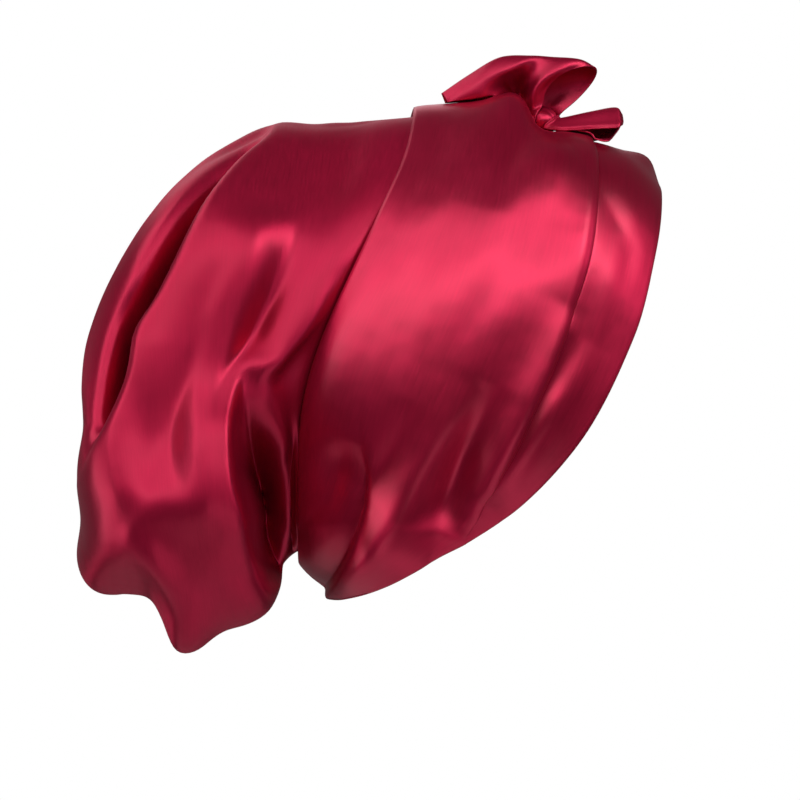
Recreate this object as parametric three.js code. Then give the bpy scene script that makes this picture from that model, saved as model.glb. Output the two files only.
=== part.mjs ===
// Satin sleep bonnet: a slouching crown gathered into a wide pleated band, with a knot and two tie ends
// on top.
// Millimetres. +Z is up, +X points to the wearer's face and -Y to the wearer's right, the near side.
// The origin is the middle of the head that the bonnet is worn on.

import * as THREE from "three";

// Cloth and sewing.
const WALL = 1.2; // doubled satin
const GAP = 0.4; // clear space between pieces that are sewn or tied together
const SEAM_LAP = 8; // how far the crown reaches under the band's rear edge
const PAST_SEAM = 0.5; // share of the lap that the crown runs on behind that edge before it swells out
const SEAM_BLEND = 0.3; // share of the crown's length over which its sections leave the seam's own shape
const KNOT_CLEARANCE = 1.6; // from the knot to the band's smooth face; its facets come nearer
const TIE_CLEARANCE = 0.9; // from the tie ends to the band's smooth face

// The outside of the band follows the head and its hair: a rounded form with its own reach on each side.
const HEAD = { front: 100, back: 97, side: 79, top: 112, bottom: 130 };
const PROFILE_POWER = 2.6; // over 2 is squarer than an ellipse, seen from the side
const SECTION_POWER = 2.2; // the same, seen from the front

// How finely the pieces are divided.
const HALF_AROUND = 28; // columns from the top of the head to the nape, on each side
const BAND_ROWS = 13;
const CROWN_ROWS = 20;
const TIE_ROWS = 12;
const KNOT_COLUMNS = 16;
const KNOT_ROWS = 10;
const LINE_SAMPLES = 24; // points on each fold line
const EDGE_SAMPLES = 400; // points on each band edge before it is spaced evenly

// The band's rear edge, where the crown is sewn on, and its front edge, which frames the face: [x, z] from
// the side, from the top of the head down to the nape.
const BAND_EDGES = [
  { place: "top", rear: [-25, 110], front: [87, 74] },
  { place: "hairline", rear: [-35, 79], front: [81, 44] },
  { place: "temple", rear: [-45, 47], front: [69, 4] },
  { place: "above_ear", rear: [-59, 6], front: [46, -40] },
  { place: "below_ear", rear: [-69.5, -35], front: [12, -75] },
  { place: "neck", rear: [-75, -79], front: [-32, -100] },
  { place: "nape", rear: [-77, -97], front: [-67, -113] },
];

// The crown is lofted along four lines from the seam to the back of the bag.
const CROWN_STATIONS = [
  { place: "seam", top: [-25, 0, 109], near: [-58, -66, 4],
    bottom: [-77, 0, -97], far: [-58, 66, 4] },
  { place: "behind", top: [-62, 7, 106], near: [-80, -83, -8],
    bottom: [-87, 0, -101], far: [-82, 86, -4] },
  { place: "widest", top: [-97, 13, 102], near: [-106, -91, -34],
    bottom: [-97, 0, -110], far: [-108, 94, -20] },
  { place: "shoulder", top: [-133, 18, 76], near: [-131, -92, -54],
    bottom: [-115, 0, -112], far: [-134, 90, -38] },
  { place: "slope", top: [-158, 18, 42], near: [-152, -86, -66],
    bottom: [-138, 0, -108], far: [-155, 78, -50] },
  { place: "back", top: [-172, 14, 8], near: [-165, -70, -76],
    bottom: [-157, 0, -105], far: [-169, 58, -62] },
  { place: "low_back", top: [-175, 8, -24], near: [-173, -42, -82],
    bottom: [-169, 0, -102], far: [-175, 32, -72] },
  { place: "tip", top: [-175, 0, -76], near: [-175, 0, -76],
    bottom: [-175, 0, -76], far: [-175, 0, -76] },
];
const SQUARENESS = 0.8; // below one the crown's sections are fuller than ovals

// Folds follow a line of [x, z] points seen from the side. A ridge has a positive height and a valley a
// negative one, fading over width on both sides. A tuck is raised on one side of its line only.
const BOTH_SIDES = 0;
const NEAR = -1;
const FAR = 1;
const CROWN_FOLDS = [
  { name: "nape valley", side: BOTH_SIDES, height: -10, width: 13,
    line: [[-93, -18], [-95, -50], [-92, -90]] },
  { name: "long valley", side: NEAR, height: -10, width: 10,
    line: [[-74, 66], [-90, 34], [-112, -12], [-117, -36]] },
  { name: "hook ridge", side: NEAR, height: 5, width: 12,
    line: [[-58, 38], [-74, 10], [-86, -8], [-104, -6]] },
  { name: "inner ridge", side: NEAR, height: 7, width: 12, line: [[-109, -10], [-113, -46], [-108, -100]] },
  { name: "hanging valley", side: NEAR, height: -5, width: 10,
    line: [[-132, -12], [-136, -36], [-132, -70]] },
  { name: "back valley", side: NEAR, height: -5, width: 9, line: [[-157, -10], [-154, -40], [-146, -66]] },
  { name: "far valley", side: FAR, height: -8, width: 12, line: [[-76, 64], [-104, 20], [-122, -36]] },
  { name: "far ridge", side: FAR, height: 7, width: 10,
    line: [[-60, 34], [-84, -4], [-110, -50], [-106, -98]] },
  { name: "far back valley", side: FAR, height: -6, width: 10,
    line: [[-148, 0], [-146, -36], [-138, -70]] },
];
const BAND_FOLDS = [
  { name: "face tuck", side: BOTH_SIDES, height: 3, width: 16, raised: "rear",
    line: [[56, 84], [50, 46], [37, 6], [17, -40], [5, -68]] },
  { name: "nape pleat", side: BOTH_SIDES, height: 5, width: 16, raised: "front",
    line: [[-42, -46], [-46, -76], [-66, -110]] },
  { name: "ear valley", side: BOTH_SIDES, height: -3, width: 13, line: [[12, -2], [-2, -36], [-14, -76]] },
  { name: "neck ridge", side: BOTH_SIDES, height: 4, width: 9, line: [[-8, -30], [-24, -54], [-40, -86]] },
  { name: "belly", side: BOTH_SIDES, height: 5, width: 34,
    line: [[66, 44], [12, 14], [-24, -10], [-56, -32]] },
];
const TUCK_DROP = 4; // distance over which a tuck falls from its raised side

// Puffs swell (or with a negative height sink) the cloth round one point, with a radius along each axis.
const CROWN_PUFFS = [
  { name: "low tip", at: [-122, -40, -112], radius: [23, 23, 23], height: 28 },
  { name: "far low tip", at: [-126, 40, -112], radius: [26, 26, 26], height: 17 },
  { name: "corner", at: [-174, -28, -94], radius: [20, 22, 18], height: 6 },
];
const BAND_PUFFS = [
  { name: "knot peak", at: [20, -20, 108], radius: [12, 18, 14], height: 6.5 },
  { name: "knot hollow", at: [35, 2, 108], radius: [12, 20, 14], height: -6 },
  { name: "front saddle", at: [48, 0, 104], radius: [24, 46, 24], height: -10 },
  { name: "rear side", at: [-50, -72, -22], radius: [32, 40, 40], height: 6 },
  { name: "face edge", at: [80, 14, 88], radius: [13, 15, 13], height: 8 },
];

// At the nape the band hangs away from the neck: share is how much wider it stands there.
const NAPE_FLARE = { at: [-46, 52, -112], radius: [38, 60, 32], share: 0.55 };

// Behind the seam the bag is drawn in on both sides, which makes a deep pocket above the nape: share is how
// far the cloth is drawn to the middle plane.
const NAPE_POCKET = { line: [[-93, -16], [-97, -50], [-93, -92]], width: 17, share: 0.5 };

// The back of the crown is split from above into a near lobe and a far lobe.
const LOBE_SPLIT = { y: -3, width: 8, depth: 15, fromZ: 92, toZ: -34, fade: 26 };

// The knot is a wrapped lump in the hollow on top of the band.
const KNOT = { at: [33, 1, 104.5], radii: [9, 12, 8], wraps: 5, wrapDepth: 0.06 };

// Tie ends are lofted along and across: [x, y, z] on each line that runs from the knot to the cut end. One
// end is a loop that opens to the front and lies back over the knot; the other is folded and lies forward.
const TIE_END_BACK = [
  { place: "mouth", nearFoot: [33, -6, 111.9], nearWall: [34, -8, 116], nearSide: [36, -11, 121],
    nearTop: [44, -12, 126.8], crest: [57, -7, 128], farTop: [55.5, 4, 122], farWall: [49, 6, 115.5],
    farFoot: [43, 4, 113.6] },
  { place: "inside", nearFoot: [29, -7, 109.9], nearWall: [28.5, -8, 115], nearSide: [29, -10.5, 120],
    nearTop: [36, -14, 126], crest: [48.7, -9, 132], farTop: [53, 3, 127], farWall: [47, 7, 118],
    farFoot: [42, 6, 114.4] },
  { place: "crease", nearFoot: [25.5, -3, 110.3], nearWall: [25, -2, 115.5], nearSide: [25, -4, 120],
    nearTop: [27, -10, 126.5], crest: [36.4, -9, 132], farTop: [42, 3, 127], farWall: [41, 8, 119],
    farFoot: [38, 7, 114.6] },
  { place: "top", nearFoot: [19, -4, 116], nearWall: [17, -6, 118.5], nearSide: [16, -9, 122.5],
    nearTop: [19, -12, 128], crest: [27.3, -8, 134.5], farTop: [30, 3, 129], farWall: [30, 8, 120],
    farFoot: [29, 8, 115] },
  { place: "fall", nearFoot: [11, -7, 116.5], nearWall: [9, -8.5, 118], nearSide: [7, -10, 121],
    nearTop: [8, -10, 126], crest: [13.7, -6, 133.8], farTop: [16, 3, 128], farWall: [17, 7, 121],
    farFoot: [18, 8, 116.5] },
  { place: "down", nearFoot: [1, -7, 114.5], nearWall: [0, -7.5, 115.8], nearSide: [-1, -8, 118],
    nearTop: [-1, -7, 121.5], crest: [0, -3, 126], farTop: [2, 3, 122], farWall: [3, 6, 118],
    farFoot: [4, 7, 114.5] },
  { place: "cut", nearFoot: [-9.5, -5, 113.6], nearWall: [-10.2, -5.5, 114.2], nearSide: [-11, -4.5, 115],
    nearTop: [-12, -2.5, 116], crest: [-13.2, 0, 117.2], farTop: [-12, 3, 115.8], farWall: [-11, 5, 114.6],
    farFoot: [-10, 6, 113.8] },
];
const TIE_END_FRONT = [
  { place: "knot", under: [43, -7, 101.5], fold: [43, 7, 103],
    crest: [43, -3, 107], hem: [43, -8, 104.5] },
  { place: "middle", under: [54, -15, 95], fold: [54, 9, 98.5],
    crest: [54.5, -7, 109], hem: [54, -17, 102] },
  { place: "cut", under: [63, -18, 93.5], fold: [66, 9, 100],
    crest: [68.4, -7, 110.6], hem: [69.5, -18, 103] },
];
const BACK_LINES = ["nearFoot", "nearWall", "nearSide", "nearTop", "crest", "farTop", "farWall", "farFoot"];
const FRONT_LINES = ["under", "fold", "crest", "hem"];
const BACK_COLUMNS = 14;
const FRONT_COLUMNS = 10;

const vector = ([x, y, z]) => new THREE.Vector3(x, y, z);
const smoothstep = THREE.MathUtils.smoothstep;

// Distance from the origin to the head form's surface along a unit direction.
function headReach(direction) {
  const along = Math.abs(direction.x) / (direction.x > 0 ? HEAD.front : HEAD.back);
  const upright = Math.abs(direction.z) / (direction.z > 0 ? HEAD.top : HEAD.bottom);
  const across = Math.abs(direction.y) / HEAD.side;
  const profile = (along ** PROFILE_POWER + upright ** PROFILE_POWER) ** (SECTION_POWER / PROFILE_POWER);
  return (profile + across ** SECTION_POWER) ** (-1 / SECTION_POWER);
}

// The near-side point of the head form behind a side-view point, or one on the middle plane past its outline.
function nearSideOfHead(sideView) {
  const along = Math.abs(sideView.x) / (sideView.x > 0 ? HEAD.front : HEAD.back);
  const upright = Math.abs(sideView.y) / (sideView.y > 0 ? HEAD.top : HEAD.bottom);
  const profile = (along ** PROFILE_POWER + upright ** PROFILE_POWER) ** (SECTION_POWER / PROFILE_POWER);
  const across = Math.max(0, 1 - profile) ** (1 / SECTION_POWER);
  return new THREE.Vector3(sideView.x, -HEAD.side * across, sideView.y);
}

// A band edge as unit directions, evenly spaced from the top of the head to the nape on the near side.
function bandEdge(edge) {
  const points = BAND_EDGES.map((row) => new THREE.Vector2(...row[edge]));
  for (const end of [points[0], points.at(-1)]) {
    const direction = new THREE.Vector3(end.x, 0, end.y).normalize();
    end.set(direction.x, direction.z).multiplyScalar(headReach(direction));
  }
  const onHead = new THREE.SplineCurve(points).getPoints(EDGE_SAMPLES).map(nearSideOfHead);
  onHead[0].y = 0;
  onHead.at(-1).y = 0;
  const curve = new THREE.CatmullRomCurve3(onHead);
  curve.arcLengthDivisions = 4 * EDGE_SAMPLES;
  return curve.getSpacedPoints(HALF_AROUND).map((point) => point.normalize());
}

// Distance from a fold's line, which side of it a side-view point is on, and how far along it.
function placeOnLine(fold, x, z) {
  const knots = fold.line.map((place) => new THREE.Vector2(...place));
  fold.points ??= new THREE.SplineCurve(knots).getPoints(LINE_SAMPLES);
  const here = new THREE.Vector2(x, z);
  let nearest = 0;
  fold.points.forEach((point, i) => {
    if (point.distanceTo(here) < fold.points[nearest].distanceTo(here)) nearest = i;
  });
  const point = fold.points[nearest];
  return { distance: point.distanceTo(here), front: x > point.x, along: nearest / LINE_SAMPLES };
}

// How far the folds and puffs raise the cloth at a point of its smooth form.
function clothLift(point, folds, puffs) {
  let lift = 0;
  for (const fold of folds) {
    if (fold.side * point.y < 0) continue;
    const place = placeOnLine(fold, point.x, point.z);
    const ends = smoothstep(place.along, -0.05, 0.2) * (1 - smoothstep(place.along, 0.85, 1.15));
    const middlePlane = smoothstep(Math.abs(point.y), 0, fold.width);
    let profile = Math.exp(-((place.distance / fold.width) ** 2));
    if (fold.raised && place.front !== (fold.raised === "front")) {
      profile = 1 - smoothstep(place.distance, 0, TUCK_DROP);
    }
    lift += fold.height * profile * ends * middlePlane;
  }
  for (const puff of puffs) lift += puff.height * nearness(point, puff);
  return lift;
}

// One at a puff's middle, and nothing far from it.
function nearness(point, { at, radius }) {
  return Math.exp(-point.clone().sub(vector(at)).divide(vector(radius)).lengthSq());
}

// A point of the band's outer face along a unit direction.
function bandPoint(direction) {
  const point = direction.clone().multiplyScalar(headReach(direction));
  point.addScaledVector(direction, clothLift(point, BAND_FOLDS, BAND_PUFFS));
  const farTwin = point.clone().setY(Math.abs(point.y));
  point.y *= 1 + NAPE_FLARE.share * nearness(farTwin, NAPE_FLARE);
  return point;
}

// Copies a near-side row of columns to the far side, so that it runs once round the head from the top.
function roundTheHead(nearSide) {
  const farSide = nearSide.slice(1, -1).reverse().map((point) => point.clone().setY(-point.y));
  return [...nearSide, ...farSide];
}

function bandGrid() {
  const rear = bandEdge("rear");
  const front = bandEdge("front");
  const grid = [];
  for (let row = 0; row <= BAND_ROWS; row++) {
    const directions = front.map((point, i) => point.clone().lerp(rear[i], row / BAND_ROWS).normalize());
    grid.push(roundTheHead(directions).map(bandPoint));
  }
  return grid;
}

// The crown's edge under the band: rows from the lapped edge back to the seam, one wall and a gap inside it.
function lappedRows() {
  const rear = bandEdge("rear");
  const front = bandEdge("front");
  return [1, 0.5, 0, -PAST_SEAM].map((share) => {
    const directions = rear.map((point, i) => {
      const lap = SEAM_LAP / HEAD.top / point.distanceTo(front[i]);
      return point.clone().lerp(front[i], share * lap).normalize();
    });
    return roundTheHead(directions).map((direction) => {
      return bandPoint(direction).addScaledVector(direction, -WALL - 2 * GAP);
    });
  });
}

// One closed section of the crown through its four lines; angle 0 is the top, a quarter turn the near side.
function crownSection([top, near, bottom, far], angle) {
  const middle = top.clone().add(near).add(bottom).add(far).multiplyScalar(1 / 4);
  const upright = top.clone().sub(bottom).multiplyScalar(1 / 2);
  const sideways = near.clone().sub(far).multiplyScalar(1 / 2);
  const skew = top.clone().add(bottom).sub(near).sub(far).multiplyScalar(1 / 4);
  const fuller = (share) => Math.sign(share) * Math.abs(share) ** SQUARENESS;
  middle.addScaledVector(upright, fuller(Math.cos(angle)));
  middle.addScaledVector(sideways, fuller(Math.sin(angle)));
  return middle.addScaledVector(skew, Math.cos(2 * angle));
}

// The crown's smooth form: its lapped edge, then sections that leave the seam and swell into the bag.
function smoothCrown() {
  const curves = ["top", "near", "bottom", "far"].map((line) => {
    return new THREE.CatmullRomCurve3(CROWN_STATIONS.map((row) => vector(row[line])));
  });
  const section = (along, angle) => crownSection(curves.map((curve) => curve.getPoint(along)), angle);
  const rows = lappedRows();
  const seam = rows.at(-1);
  for (let row = 1; row <= CROWN_ROWS; row++) {
    const along = row / CROWN_ROWS;
    rows.push(seam.map((seamPoint, column) => {
      const angle = (2 * Math.PI * column) / seam.length;
      const toSeam = seamPoint.clone().sub(section(0, angle));
      return section(along, angle).addScaledVector(toSeam, 1 - smoothstep(along, 0, SEAM_BLEND));
    }));
  }
  return rows;
}

// The groove between the near lobe and the far lobe at the back of the bag.
function lobeSplit(point) {
  const { y, width, depth, fromZ, toZ, fade } = LOBE_SPLIT;
  const above = smoothstep(point.z, toZ - fade, toZ + fade);
  const height = above * (1 - smoothstep(point.z, fromZ, fromZ + fade));
  return -depth * height * Math.exp(-(((point.y - y) / width) ** 2));
}

// The share by which the bag is drawn in towards the middle plane.
function drawnIn(point) {
  const place = placeOnLine(NAPE_POCKET, point.x, point.z);
  return NAPE_POCKET.share * Math.exp(-((place.distance / NAPE_POCKET.width) ** 2));
}

// Averages each value with its neighbours along and round the crown, so no fold is sharper than a facet.
function softened(values) {
  return values.map((row, r) => row.map((value, c) => {
    const before = values[Math.max(r - 1, 0)][c];
    const after = values[Math.min(r + 1, values.length - 1)][c];
    return (2 * value + before + after + row.at(c - 1) + row[(c + 1) % row.length]) / 6;
  }));
}

function crownGrid() {
  const smooth = smoothCrown();
  const normals = gridNormals(smooth, { ring: true, tip: true });
  const lapped = smooth.length - CROWN_ROWS;
  const pastSeam = (row) => smoothstep(row, lapped - 1, lapped + 2);
  const lifts = smooth.map((points, row) => points.map((point) => {
    return (clothLift(point, CROWN_FOLDS, CROWN_PUFFS) + lobeSplit(point)) * pastSeam(row);
  }));
  const pockets = smooth.map((points, row) => points.map((point) => drawnIn(point) * pastSeam(row)));
  const soft = softened(softened(lifts));
  const softPockets = softened(softened(pockets));
  return smooth.map((points, row) => points.map((point, column) => {
    if (row < lapped) return point;
    const lifted = point.clone().addScaledVector(normals[row][column], soft[row][column]);
    return lifted.setY(lifted.y * (1 - softPockets[row][column]));
  }));
}

// Triangles between the rows and columns of a grid, each square cut along its shorter diagonal. A ring joins
// its last column to its first, and a tip draws its last row together into one point.
function gridFaces(grid, { ring = false, tip = false }) {
  const rows = grid.length;
  const columns = grid[0].length;
  const points = grid.flat();
  const apart = (from, to) => points[from].distanceTo(points[to]);
  const vertex = (row, column) => {
    if (tip && row === rows - 1) return row * columns;
    return row * columns + (column % columns);
  };
  const faces = [];
  for (let row = 0; row < rows - 1; row++) {
    for (let column = 0; column < (ring ? columns : columns - 1); column++) {
      const a = vertex(row, column);
      const b = vertex(row + 1, column);
      const c = vertex(row + 1, column + 1);
      const d = vertex(row, column + 1);
      if (b === c) faces.push([a, c, d]);
      else if (apart(a, c) < apart(b, d)) faces.push([a, b, c], [a, c, d]);
      else faces.push([a, b, d], [b, c, d]);
    }
  }
  return faces;
}

function meshGeometry(points, faces) {
  const geometry = new THREE.BufferGeometry().setFromPoints(points);
  geometry.setIndex(faces.flat());
  geometry.computeVertexNormals();
  return geometry;
}

function gridNormals(grid, shape) {
  const columns = grid[0].length;
  const geometry = meshGeometry(grid.flat(), gridFaces(grid, shape));
  const normals = geometry.getAttribute("normal");
  return grid.map((points, row) => points.map((_, column) => {
    const index = shape.tip && row === grid.length - 1 ? row * columns : row * columns + column;
    return new THREE.Vector3().fromBufferAttribute(normals, index);
  }));
}

// A cloth wall: the grid is its outer face, and its inner face lies one wall inside it.
function clothWall(grid, shape = {}) {
  const outerFaces = gridFaces(grid, shape);
  const normals = gridNormals(grid, shape).flat();
  const outer = grid.flat();
  const inner = outer.map((point, i) => point.clone().addScaledVector(normals[i], -WALL));
  const inside = (i) => i + outer.length;
  const faces = [...outerFaces, ...outerFaces.map(([a, b, c]) => [inside(a), inside(c), inside(b)])];
  const edges = new Set(outerFaces.flatMap(([a, b, c]) => [`${a},${b}`, `${b},${c}`, `${c},${a}`]));
  for (const edge of edges) {
    const [a, b] = edge.split(",").map(Number);
    if (edges.has(`${b},${a}`)) continue;
    faces.push([b, a, inside(a)], [b, inside(a), inside(b)]);
  }
  return usedPoints([...outer, ...inner], faces);
}

// Leaves out the points that no face uses.
function usedPoints(points, faces) {
  const kept = new Map();
  for (const index of faces.flat()) {
    if (!kept.has(index)) kept.set(index, kept.size);
  }
  const renumbered = faces.map((face) => face.map((i) => kept.get(i)));
  return meshGeometry([...kept.keys()].map((i) => points[i]), renumbered);
}

// Moves a point out along the radius until it is clear of the band.
function clearOfBand(point, clearance) {
  const direction = point.clone().normalize();
  const reach = bandPoint(direction).length() + clearance;
  return point.length() < reach ? direction.multiplyScalar(reach) : point;
}

// A tie end lofted through its stations; the wall's inner face lies under it.
function tieGrid(stations, lines, columns) {
  const grid = [];
  const along = lines.map((line) => new THREE.CatmullRomCurve3(stations.map((row) => vector(row[line]))));
  for (let row = 0; row <= TIE_ROWS; row++) {
    const across = new THREE.CatmullRomCurve3(along.map((curve) => curve.getPoint(row / TIE_ROWS)));
    grid.push(across.getPoints(columns).map((point) => clearOfBand(point, WALL + TIE_CLEARANCE)));
  }
  return grid;
}

// The knot: a rounded lump with shallow wraps of cloth round it, clear of the band below.
function knotGeometry() {
  const grid = [];
  for (let row = 0; row <= KNOT_ROWS; row++) {
    const polar = (Math.PI * row) / KNOT_ROWS;
    const ring = Math.sin(polar) * (1 + KNOT.wrapDepth * Math.sin(KNOT.wraps * polar));
    grid.push([]);
    for (let column = 0; column < KNOT_COLUMNS; column++) {
      const turn = (2 * Math.PI * column) / KNOT_COLUMNS;
      const lump = [ring * Math.sin(turn), Math.cos(polar), ring * Math.cos(turn)];
      const point = vector(lump.map((share, axis) => KNOT.at[axis] + share * KNOT.radii[axis]));
      grid[row].push(clearOfBand(point, KNOT_CLEARANCE));
    }
  }
  const first = 0;
  const last = KNOT_ROWS * KNOT_COLUMNS;
  const pole = (index) => (index < KNOT_COLUMNS ? first : index >= last ? last : index);
  const faces = gridFaces(grid, { ring: true })
    .map((face) => face.map(pole))
    .filter(([a, b, c]) => a !== b && b !== c && c !== a);
  return usedPoints(grid.flat(), faces);
}

function satin(color) {
  return new THREE.MeshStandardMaterial({ color, roughness: 0.35, metalness: 0, side: THREE.DoubleSide });
}

function piece(name, geometry, color) {
  const mesh = new THREE.Mesh(geometry, satin(color));
  mesh.name = name;
  return mesh;
}

const bonnet = new THREE.Group();
bonnet.add(
  piece("crown", clothWall(crownGrid(), { ring: true, tip: true }), "#9c1b33"),
  piece("band", clothWall(bandGrid(), { ring: true }), "#a01d36"),
  piece("knot", knotGeometry(), "#8f172d"),
  piece("tie_end_back", clothWall(tieGrid(TIE_END_BACK, BACK_LINES, BACK_COLUMNS)), "#a01d36"),
  piece("tie_end_front", clothWall(tieGrid(TIE_END_FRONT, FRONT_LINES, FRONT_COLUMNS)), "#a01d36"),
);

export default bonnet;
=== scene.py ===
# %% [markdown]
# # A satin sleep bonnet
# The bonnet is five pieces of wine red satin: a slouching crown bag, a wide band, a knot and two tie ends.
# Cloth can bend and fold, but it hardly stretches. A cloth simulation could drape it, but the folds would
# fall where they like. Here each piece starts as a flat grid, the cut of cloth, and its points are moved to
# where the worn cloth lies, so that every fold can be placed.
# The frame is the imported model: metres, +Z up, +X to the front and -Y to the side that we look at.

# %% Load the frame
import math

import bpy
import numpy as np
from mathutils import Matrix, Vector, noise
from mathutils.bvhtree import BVHTree


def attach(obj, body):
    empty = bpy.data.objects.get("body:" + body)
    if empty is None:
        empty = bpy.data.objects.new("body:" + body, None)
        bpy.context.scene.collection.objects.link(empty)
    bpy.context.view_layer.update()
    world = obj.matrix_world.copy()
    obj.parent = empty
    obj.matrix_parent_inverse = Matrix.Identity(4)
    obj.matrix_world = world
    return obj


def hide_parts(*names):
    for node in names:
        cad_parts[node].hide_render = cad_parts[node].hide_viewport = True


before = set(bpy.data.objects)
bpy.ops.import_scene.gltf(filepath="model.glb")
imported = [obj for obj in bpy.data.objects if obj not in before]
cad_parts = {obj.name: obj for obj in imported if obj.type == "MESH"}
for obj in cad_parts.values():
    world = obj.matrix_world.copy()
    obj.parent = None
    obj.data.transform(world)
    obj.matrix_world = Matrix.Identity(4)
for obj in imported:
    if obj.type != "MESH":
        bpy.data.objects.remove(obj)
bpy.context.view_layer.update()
MM = 0.001  # the tables below are in millimetres

# %% [markdown]
# ## Camera
# The picture is a plain side view, from the right and with a long lens. A camera could stand close with
# a short lens, but then the near side would look too large. From far away the outline can be measured almost
# as on a drawing.

# %% Camera
CAMERA_AT = np.array([-31.85, -1500.0, -22.75])  # opposite the middle of the picture
PICTURE_WIDTH = 364.0  # width that the picture shows at the middle plane
SENSOR = 36.0

camera_data = bpy.data.cameras.new("side_camera")
camera_data.sensor_width = SENSOR
camera_data.lens = SENSOR * -CAMERA_AT[1] / PICTURE_WIDTH
camera = bpy.data.objects.new("side_camera", camera_data)
camera.location = CAMERA_AT * MM
camera.rotation_euler = (math.radians(90), 0, 0)
bpy.context.collection.objects.link(camera)
bpy.context.scene.camera = camera
print("Lens in mm:", round(camera_data.lens))

# %% [markdown]
# ## The block
# The band is stretched over a rounded form, as a hat is over a hat maker's block. A sphere could be sculpted
# to it, but one formula is easier to change: a superellipsoid, which is a ball with its own reach on each
# side and with squarer shoulders.

# %% Block
BLOCK_FRONT = 100
BLOCK_BACK = 97
BLOCK_SIDE = 79
BLOCK_TOP = 112
BLOCK_BOTTOM = 130
PROFILE_POWER = 2.6  # over 2 is squarer than an ellipse, seen from the side
SECTION_POWER = 2.2  # the same, seen from the front


def block_profile(x, z):
    along = np.abs(x) / np.where(x > 0, BLOCK_FRONT, BLOCK_BACK)
    upright = np.abs(z) / np.where(z > 0, BLOCK_TOP, BLOCK_BOTTOM)
    return (along**PROFILE_POWER + upright**PROFILE_POWER) ** (SECTION_POWER / PROFILE_POWER)


def block_reach(directions):
    """Distance from the origin to the block's face along unit directions."""
    x, y, z = directions[..., 0], directions[..., 1], directions[..., 2]
    return (block_profile(x, z) + (np.abs(y) / BLOCK_SIDE) ** SECTION_POWER) ** (-1 / SECTION_POWER)


print("Block in mm, front to back:", BLOCK_FRONT + BLOCK_BACK)

# %% [markdown]
# ## Smooth lines
# Every edge and fold is a smooth line through a few given points. A Bezier curve object could hold it, but we
# only need its points, so a Catmull-Rom spline in code is enough: it passes through each point.

# %% Smooth lines
def unit(vectors):
    return vectors / np.linalg.norm(vectors, axis=-1, keepdims=True)


def smoothstep(value, low, high):
    share = np.clip((value - low) / (high - low), 0, 1)
    return share * share * (3 - 2 * share)


def smooth_line(points, places):
    """Points of a Catmull-Rom spline; places run from 0 to 1 along it."""
    points = np.asarray(points, float)
    padded = np.concatenate([[2 * points[0] - points[1]], points, [2 * points[-1] - points[-2]]])
    place = np.asarray(places) * (len(points) - 1)
    index = np.clip(place.astype(int), 0, len(points) - 2)
    t = (place - index).reshape(-1, *[1] * (points.ndim - 1))
    a, b, c, d = (padded[index + k] for k in range(4))
    return 0.5 * (2 * b + (c - a) * t + (2 * a - 5 * b + 4 * c - d) * t**2 + (3 * b - a - 3 * c + d) * t**3)


def evenly_spaced(line, count):
    """The same line with count points at equal distances."""
    steps = np.linalg.norm(np.diff(line, axis=0), axis=1)
    run = np.concatenate([[0], np.cumsum(steps)])
    places = np.linspace(0, run[-1], count)
    return np.stack([np.interp(places, run, line[:, k]) for k in range(line.shape[1])], axis=1)


print("A bent line has", len(smooth_line([(0, 0), (1, 1), (2, 0)], np.linspace(0, 1, 9))), "points")

# %% [markdown]
# ## Folds
# Folds could be sculpted, but then they can't be corrected by a number. Here a fold is a line as it is seen
# from the side, with a height at each of its points, and with a share and a width on each side of it. A ridge
# is raised on both sides and a valley is lowered on both. At a tuck the cloth turns over itself, so only one
# side is raised. Back is the side of the line towards the back of the bonnet, for a line that runs down.

# %% Fold tools
LINE_SAMPLES = np.linspace(0, 1, 80)
NEAR = -1
FAR = 1
FOLD_FADE = 1.6  # how fast a fold fades beside its line
REACH_FADE = 8  # distance over which it ends at the far side


def seen(points):
    """Where points appear from the camera, on the middle plane, as x and z."""
    zoom = -CAMERA_AT[1] / (points[..., 1] - CAMERA_AT[1])
    x = CAMERA_AT[0] + (points[..., 0] - CAMERA_AT[0]) * zoom
    z = CAMERA_AT[2] + (points[..., 2] - CAMERA_AT[2]) * zoom
    return np.stack([x, z], axis=-1)


def fold_lift(points, fold):
    """How far one fold raises each point along its normal."""
    mirrored = points * (1, -fold.get("side", NEAR), 1)
    view = seen(mirrored).reshape(-1, 2)
    line = smooth_line(fold["line"], LINE_SAMPLES)
    tangent = unit(np.gradient(line[:, :2], axis=0))
    nearest = np.argmin(((view[:, None] - line[None, :, :2]) ** 2).sum(-1), axis=1)
    offset = view - line[nearest, :2]
    along = (offset * tangent[nearest]).sum(-1)
    ahead = tangent[nearest, 0] * offset[:, 1] - tangent[nearest, 1] * offset[:, 0]
    step = np.linalg.norm(np.gradient(line[:, :2], axis=0), axis=1)[nearest]
    place = nearest + along / step
    height = np.interp(place, np.arange(len(line)), line[:, 2])
    past_end = np.maximum(np.maximum(-place, place - len(line) + 1), 0) * step
    crisp = fold.get("crisp", 2.5)  # distance over which back turns into front
    front = smoothstep(ahead, -crisp, crisp)
    share = fold["back"][0] * (1 - front) + fold["front"][0] * front
    width = fold["back"][1] * (1 - front) + fold["front"][1] * front
    away = np.hypot(ahead, past_end) / width
    blunt = fold.get("blunt", 0.6)  # how round the fold is on its line
    profile = np.exp(-FOLD_FADE * (np.sqrt(away**2 + blunt**2) - blunt))
    reach = fold.get("reach", -3)  # depth y at which the fold ends at the far side
    own_side = 1 - smoothstep(mirrored[..., 1].reshape(-1), reach - REACH_FADE, reach + REACH_FADE)
    return (height * share * profile * own_side).reshape(points.shape[:-1])


print("Samples on each fold line:", len(LINE_SAMPLES))

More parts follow.
